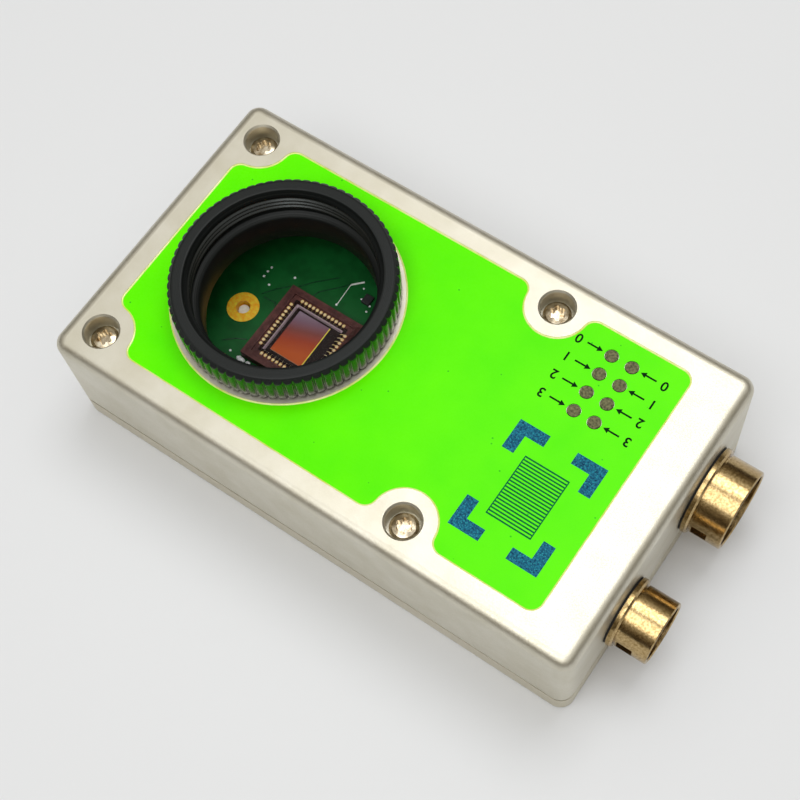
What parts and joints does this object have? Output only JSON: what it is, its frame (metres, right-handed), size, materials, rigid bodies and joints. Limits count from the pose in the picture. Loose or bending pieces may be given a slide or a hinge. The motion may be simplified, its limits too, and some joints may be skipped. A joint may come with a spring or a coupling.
{
  "type": "machine vision camera",
  "caption": "Compact machine vision camera: flat aluminium housing, knurled lens-mount ring over an open image sensor, green front label with status lamps, round push-pull sockets on one end.",
  "frame": {"origin": "centre of the housing's bottom face, sockets left out", "axes": "+X along the housing towards the sockets, +Y across it, +Z out of the lens side"},
  "size_m": [0.0858, 0.045, 0.025],
  "materials": {
    "shell_aluminium": "satin anodised, bead blasted",
    "tray_aluminium": "satin anodised",
    "black_anodised": "matt black anodised",
    "label_film": "printed polyester film",
    "seal_rubber": "matt",
    "board_laminate": "green solder mask",
    "gold_plate": "gold plated",
    "ceramic": "fired ceramic",
    "silicon": "polished wafer",
    "cover_glass": "clear",
    "chip_epoxy": "moulded epoxy",
    "thermal_gel": "soft pad",
    "capacitor_body": "sintered ceramic with tinned ends",
    "screw_steel": "stainless steel",
    "light_pipe": "smoky acrylic",
    "led_body": "moulded",
    "header_plastic": "moulded nylon",
    "socket_plate": "nickel plated",
    "socket_insulator": "moulded PPS"
  },
  "bodies": {
    "housing": {"housing_shell": "shell_aluminium", "base_plate": "tray_aluminium", "face_label": "label_film", "seam_gasket": "seal_rubber", "main_board": "board_laminate", "lamp_board": "board_laminate", "socket_board": "board_laminate", "hole_plating": "gold_plate", "bond_pads": "gold_plate", "sensor_package": "ceramic", "sensor_die": "silicon", "sensor_glass": "cover_glass", "processor": "chip_epoxy", "memory_chip_1": "chip_epoxy", "memory_chip_2": "chip_epoxy", "network_chip": "chip_epoxy", "power_inductor": "chip_epoxy", "thermal_pad": "thermal_gel", "capacitors": "capacitor_body", "status_leds": "led_body", "lamp_header": "header_plastic", "board_link": "header_plastic", "cover_screw_1": "screw_steel", "board_screw_1": "screw_steel", "cover_screw_2": "screw_steel", "board_screw_2": "screw_steel", "cover_screw_3": "screw_steel", "board_screw_3": "screw_steel", "cover_screw_4": "screw_steel", "board_screw_4": "screw_steel", "status_window_1": "light_pipe", "status_window_2": "light_pipe", "status_window_3": "light_pipe", "status_window_4": "light_pipe", "status_window_5": "light_pipe", "status_window_6": "light_pipe", "status_window_7": "light_pipe", "status_window_8": "light_pipe", "large_socket_shell": "socket_plate", "large_socket_nut": "socket_plate", "large_socket_gasket": "seal_rubber", "large_socket_insert": "socket_insulator", "large_socket_contacts": "gold_plate", "small_socket_shell": "socket_plate", "small_socket_nut": "socket_plate", "small_socket_gasket": "seal_rubber", "small_socket_insert": "socket_insulator", "small_socket_contacts": "gold_plate"},
    "ring_carrier": {"focus_shim": "screw_steel"},
    "lens_ring": {"mount_ring": "black_anodised"}
  },
  "joints": [
    {"name": "ring_lift", "type": "slide", "parent": "housing", "child": "ring_carrier", "axis": [0, 0, 1], "range_m": [0, 0.004]},
    {"name": "ring_turn", "type": "hinge", "parent": "ring_carrier", "child": "lens_ring", "pos_m": [-0.0175, 0, 0.02], "axis": [0, 0, 1], "range_deg": [0, 1800]}
  ],
  "couplings": [
    {"joint": "ring_lift", "follows": "ring_turn", "m_per_rad": 0.00012633}
  ]
}
